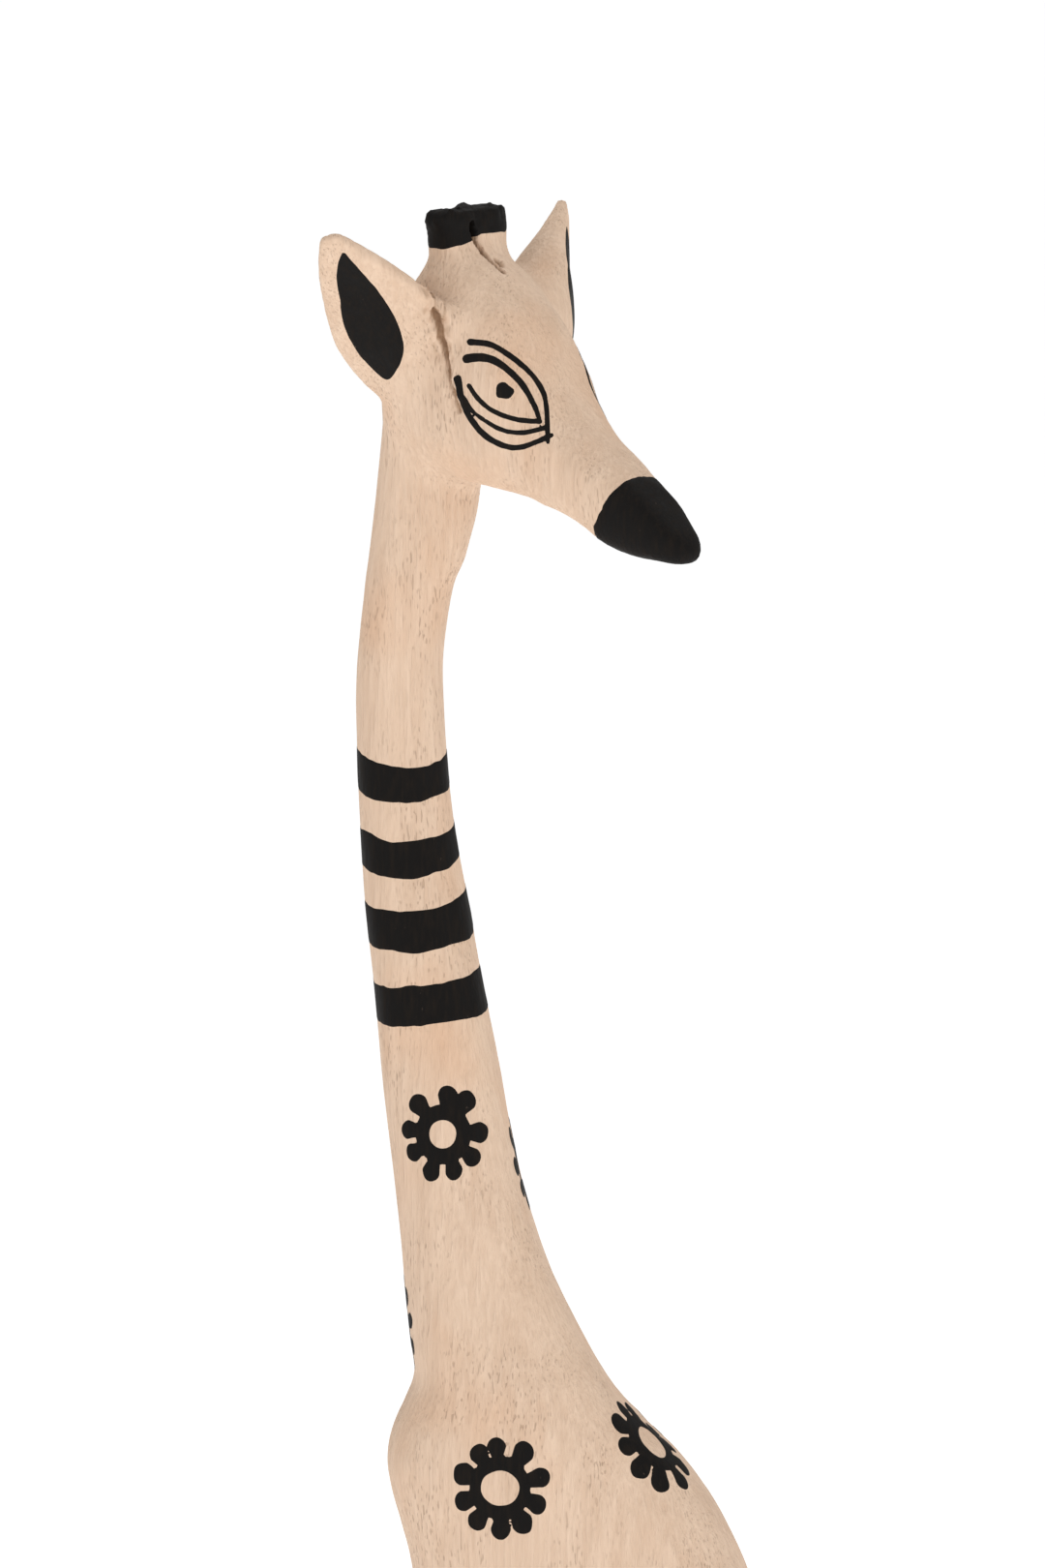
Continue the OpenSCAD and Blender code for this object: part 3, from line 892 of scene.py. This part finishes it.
def new_material(name, group, values, bump, depth, shine, crack_shade_and_streaks_color=None):
    material = bpy.data.materials.new(name)
    material.use_nodes = True
    n = Nodes(material.node_tree)
    shader = material.node_tree.nodes["Principled BSDF"]
    effect = n.add("ShaderNodeGroup", {"node_tree": group})
    for key, value in values.items():
        effect.inputs[key].default_value = value
    color = effect.outputs["Color"]
    # Painted shade: the crack layer darkens the colour in the cracks, split and chip, and in streaks round
    # the right ear's crack.
    if crack_shade_and_streaks_color:
        mask = n.add("ShaderNodeAttribute", {"attribute_name": "crack_shade_and_streaks"}).outputs["Fac"]
        color = n.mix(n.math("MULTIPLY", mask, 0.85), color, crack_shade_and_streaks_color)
    n.feed(shader.inputs["Base Color"], color)
    n.feed(shader.inputs["Roughness"], effect.outputs["Roughness"])
    relief = n.add("ShaderNodeBump", Strength=bump, Distance=depth, Height=effect.outputs["Height"])
    n.feed(shader.inputs["Normal"], relief.outputs["Normal"])
    shader.inputs["Specular IOR Level"].default_value = shine
    return material


# The statue's materials, once they are built.
made = {}


def materials(context):
    """The materials, built once from the finish settings."""
    if made:
        return made
    finish = context.scene.statue_finish
    grain = grain_group()
    brush = brush_group()
    pale = (*finish.pale_wood, 1)
    deep = (*finish.deep_wood, 1)
    paint = (*finish.paint, 1)
    made["wood"] = new_material(
        "Carved pale wood", grain,
        {"Pale": pale, "Deep": deep, "Streaks": 0.85, "Pores": finish.pores, "Blotches": 0.5},
        # Last: the colour of the painted shade in the cracks and of the streaks round the ear's crack.
        0.7, 0.0006, 0.25, (0.30, 0.17, 0.09, 1),
    )
    made["dowel"] = new_material(
        "Dowel wood", grain,
        {"Pale": (0.50, 0.30, 0.16, 1), "Deep": (0.34, 0.19, 0.09, 1), "Streaks": 0.8,
         "Pores": 0.4, "Blotches": 0.1},
        0.3, 0.0003, 0.3,
    )
    made["paint"] = new_material(
        "Brushed black paint", brush, {"Paint": paint, "Worn": deep, "Wear": finish.wear},
        0.4, 0.0003, 0.1,
    )
    return made


# ---------------- settings
class StatueCarving(bpy.types.PropertyGroup):
    """Sizes of the carved and painted surface."""

    mesh_step: bpy.props.FloatProperty(
        name="Mesh step", description="Spacing of the carved skin's points", default=0.0014,
        min=0.0007, max=0.003, unit="LENGTH",
    )
    fine_length: bpy.props.FloatProperty(
        name="Paint edge length", description="Longest edge beside a painted outline",
        default=0.0006, min=0.0003, max=0.002, unit="LENGTH",
    )
    film: bpy.props.FloatProperty(
        name="Paint thickness", description="How far the paint stands up from the wood",
        default=0.00007, min=0.0, max=0.0005, unit="LENGTH",
    )
    knife: bpy.props.FloatProperty(
        name="Knife marks", description="Strength of the carver's flats and ridges",
        default=1.0, min=0.0, max=2.0, subtype="FACTOR",
    )


class StatueFinish(bpy.types.PropertyGroup):
    """Colours of the wood and the paint."""

    pale_wood: bpy.props.FloatVectorProperty(
        name="Pale wood", description="Main colour of the bare wood", subtype="COLOR",
        default=(0.76, 0.565, 0.42), min=0, max=1,
    )
    deep_wood: bpy.props.FloatVectorProperty(
        name="Deep wood", description="Colour of the darker grain", subtype="COLOR",
        default=(0.63, 0.44, 0.31), min=0, max=1,
    )
    paint: bpy.props.FloatVectorProperty(
        name="Paint", description="Colour of the painted marks", subtype="COLOR",
        default=(0.006, 0.005, 0.0045), min=0, max=1,
    )
    pores: bpy.props.FloatProperty(
        name="Pores", description="How strongly the wood's open pores show", default=0.45,
        min=0, max=1, subtype="FACTOR",
    )
    wear: bpy.props.FloatProperty(
        name="Paint wear", description="How much wood shows through thin paint", default=0.35,
        min=0, max=1, subtype="FACTOR",
    )


class StatueStage(bpy.types.PropertyGroup):
    """Floor, lights and camera."""

    floor_size: bpy.props.FloatProperty(
        name="Floor size", description="Width of the pale floor", default=80.0, min=1.0, unit="LENGTH"
    )
    sky: bpy.props.FloatProperty(
        name="Soft light", description="Strength of the even light from all round", default=0.42, min=0.0
    )
    key: bpy.props.FloatProperty(
        name="Key light", description="Power of the large soft light at the front left", default=12.5,
        min=0.0, unit="POWER",
    )
    distance: bpy.props.FloatProperty(
        name="Camera distance", description="From the camera to the statue", default=6.0,
        min=0.3, unit="LENGTH",
    )
    lens: bpy.props.FloatProperty(
        name="Lens", description="Focal length in millimetres", default=615.2, min=20, max=2000
    )


# ---------------- pieces
def painted_sizes(settings, length, rounds, marks):
    """Sizes in mm for a painted piece. marks is its share of the knife marks."""
    return {
        "step": settings.mesh_step * 1000, "length": length, "rounds": rounds,
        "film": settings.film * 1000, "marks": marks * settings.knife, "flat_ends": True,
    }


def placed(piece, node):
    """Sets a piece in the frame in place of a node."""
    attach(piece, "root")
    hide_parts(node)


def dowels(end):
    """The shapes of the dowels whose names end like this."""
    nodes = [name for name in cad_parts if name.startswith("dowel") and name.endswith(end)]
    return [lambda points, node=node: dowel_shape(points, node) for node in nodes]


def seated_flowers():
    """Each flower's centre on the trunk or neck, the way it faces, and its own sizes."""
    flowers = []
    for number, (centre, *rest) in enumerate(FLOWERS):
        point = seated(np.array([centre], float), body_shape, 12)
        out, _ = slope(point, body_shape)
        flowers.append((point[0], out[0], (*rest, 60 + number)))
    return flowers


class StatueAddCarving(bpy.types.Operator):
    """Carve and paint the trunk, neck, head, ears and horns, which are one billet"""

    bl_idname = "statue.add_carving"
    bl_label = "Carved body and head"

    def execute(self, context):
        settings = context.scene.statue_carving
        finish = materials(context)
        flowers = seated_flowers()
        lines = crack_lines()
        fine = settings.fine_length * 1000

        def paint(points):
            return carving_paint(points, flowers)

        def length(points):
            wanted = np.where(points[:, 2] > HEAD_MIDDLE[2] - 30, 1.0, 1.7)
            edge = np.abs(paint(points))
            wanted = np.where(edge < 1.6, np.maximum(fine, 0.45 * edge), wanted)
            high = points[:, 2] > CRACKS_FROM
            for line, half, _ in lines:
                distance, _ = line_distance(points[high], line)
                wanted[high] = np.minimum(wanted[high], np.maximum(0.38, 0.4 * (distance - half - 0.6)))
            return wanted

        piece = carved_piece(
            "carved_body", carving_shape, box_round("main_carving"), painted_sizes(settings, length, 3, 1),
            (finish["wood"], finish["paint"]), paint, lines, (*dowels(""), peg_shape),
        )
        placed(piece, "main_carving")
        return {"FINISHED"}


class StatueAddLegs(bpy.types.Operator):
    """Carve the four legs, with painted hooves"""

    bl_idname = "statue.add_legs"
    bl_label = "Legs"

    def execute(self, context):
        settings = context.scene.statue_carving
        finish = materials(context)
        for end, (stations, joint_x, foot_x) in LEGS.items():
            for side_name, side in (("right", -1), ("left", 1)):
                node = f"leg_{end}_{side_name}"
                seed = 70 + 2 * (end == "rear") + (side > 0)

                def shape(points):
                    return leg_shape(points, stations, joint_x, foot_x, side)

                def paint(points):
                    ragged = 0.9 * lumps(points, (3, 3, 8), seed)
                    return HOOF_PAINT_TOP + 2 * (seed % 3) + ragged - points[:, 2]

                def length(points):
                    return np.where(np.abs(paint(points)) < 1.2, 0.6, 1.6)

                piece = carved_piece(
                    f"carved_{node}", shape, box_round(node, 0), painted_sizes(settings, length, 2, 0.8),
                    (finish["wood"], finish["paint"]), paint, (), dowels(node[len("leg"):]),
                )
                placed(piece, node)
        return {"FINISHED"}


class StatueAddTail(bpy.types.Operator):
    """Carve the painted tail, which is pegged into the rump"""

    bl_idname = "statue.add_tail"
    bl_label = "Tail"

    def execute(self, context):
        settings = context.scene.statue_carving
        finish = materials(context)

        def shape(points):
            tuft = np.clip((TUFT_TOP - points[:, 2]) / 12, 0, 1)
            angle = np.arctan2(points[:, 1], points[:, 0] - TUFT_X)
            return tail_shape(points) + 0.3 * tuft * np.cos(TUFT_RIDGES * angle)

        sizes = {"step": 0.7, "film": 0, "marks": 0.4 * settings.knife, "flat_ends": False}
        piece = carved_piece("carved_tail", shape, box_round("tail"), sizes, (finish["paint"],))
        placed(piece, "tail")
        return {"FINISHED"}


class StatueFinishDowels(bpy.types.Operator):
    """Give the hidden dowels their own wood"""

    bl_idname = "statue.finish_dowels"
    bl_label = "Dowels"

    def execute(self, context):
        wood = materials(context)["dowel"]
        for name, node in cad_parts.items():
            if name.startswith("dowel"):
                for slot in node.material_slots:
                    slot.material = wood
        return {"FINISHED"}


def aim(thing, place, target):
    """Puts a lamp or camera at a place, facing a target."""
    thing.location = place
    way = Vector(target) - Vector(place)
    thing.rotation_euler = way.to_track_quat("-Z", "Y").to_euler()


def area_light(name, place, size, power):
    light = bpy.data.lights.new(name, "AREA")
    light.size = size
    light.energy = power
    aim(added(name, light), place, LIGHT_TARGET)


class StatueAddStage(bpy.types.Operator):
    """Add the pale floor, soft lights and the camera"""

    bl_idname = "statue.add_stage"
    bl_label = "Stage"

    def execute(self, context):
        scene = context.scene
        stage = scene.statue_stage
        half = stage.floor_size / 2
        mesh = bpy.data.meshes.new("floor")
        corners = [(-half, -half, 0), (half, -half, 0), (half, half, 0), (-half, half, 0)]
        mesh.from_pydata(corners, [], [(0, 1, 2, 3)])
        floor = added("floor", mesh)
        pale = bpy.data.materials.new("Pale floor")
        pale.use_nodes = True
        shader = pale.node_tree.nodes["Principled BSDF"]
        shader.inputs["Base Color"].default_value = (FLOOR_GREY, FLOOR_GREY, FLOOR_GREY, 1)
        shader.inputs["Roughness"].default_value = 0.9
        shader.inputs["Emission Color"].default_value = (1, 1, 1, 1)
        shader.inputs["Emission Strength"].default_value = FLOOR_GLOW
        mesh.materials.append(pale)
        world = bpy.data.worlds.new("Soft white room")
        scene.world = world
        world.use_nodes = True
        n = Nodes(world.node_tree)
        seen = n.add("ShaderNodeLightPath").outputs["Is Camera Ray"]
        backdrop = world.node_tree.nodes["Background"]
        n.feed(backdrop.inputs["Strength"], n.band(seen, 0, 1, stage.sky, 1.0))
        backdrop.inputs["Color"].default_value = (1, 1, 1, 1)
        for name, place, size, share in LIGHTS:
            area_light(name, place, size, stage.key * share)
        scene.view_settings.view_transform = "Standard"
        camera = added("camera", bpy.data.cameras.new("camera"))
        camera.data.lens = stage.lens
        camera.data.clip_end = VIEW_END
        middle = np.array(VIEW_MIDDLE)
        tilt = math.radians(VIEW_TILT)
        back = np.array([0, -math.cos(tilt), math.sin(tilt)]) * stage.distance
        aim(camera, middle + back, middle)
        scene.camera = camera
        return {"FINISHED"}


class StatuePanel(bpy.types.Panel):
    """Lists the statue's pieces and their settings"""

    bl_label = "Carved giraffe"
    bl_idname = "VIEW3D_PT_statue"
    bl_space_type = "VIEW_3D"
    bl_region_type = "UI"
    bl_category = "Statue"

    def draw(self, context):
        scene = context.scene
        for group in (scene.statue_carving, scene.statue_finish, scene.statue_stage):
            box = self.layout.box()
            for key in group.__annotations__:
                box.prop(group, key)
        for operator in OPERATORS:
            self.layout.operator(operator.bl_idname)


OPERATORS = (StatueAddCarving, StatueAddLegs, StatueAddTail, StatueFinishDowels, StatueAddStage)
SETTINGS = {
    "statue_carving": StatueCarving, "statue_finish": StatueFinish, "statue_stage": StatueStage,
}
CLASSES = (*SETTINGS.values(), *OPERATORS, StatuePanel)


def register():
    for item in CLASSES:
        bpy.utils.register_class(item)
    for name, group in SETTINGS.items():
        setattr(bpy.types.Scene, name, bpy.props.PointerProperty(type=group))


def unregister():
    for name in SETTINGS:
        delattr(bpy.types.Scene, name)
    for item in reversed(CLASSES):
        bpy.utils.unregister_class(item)


def main():
    register()
    bpy.ops.statue.add_carving()
    bpy.ops.statue.add_legs()
    bpy.ops.statue.add_tail()
    bpy.ops.statue.finish_dowels()
    bpy.ops.statue.add_stage()
    bpy.context.view_layer.update()


if __name__ == "__main__":
    main()
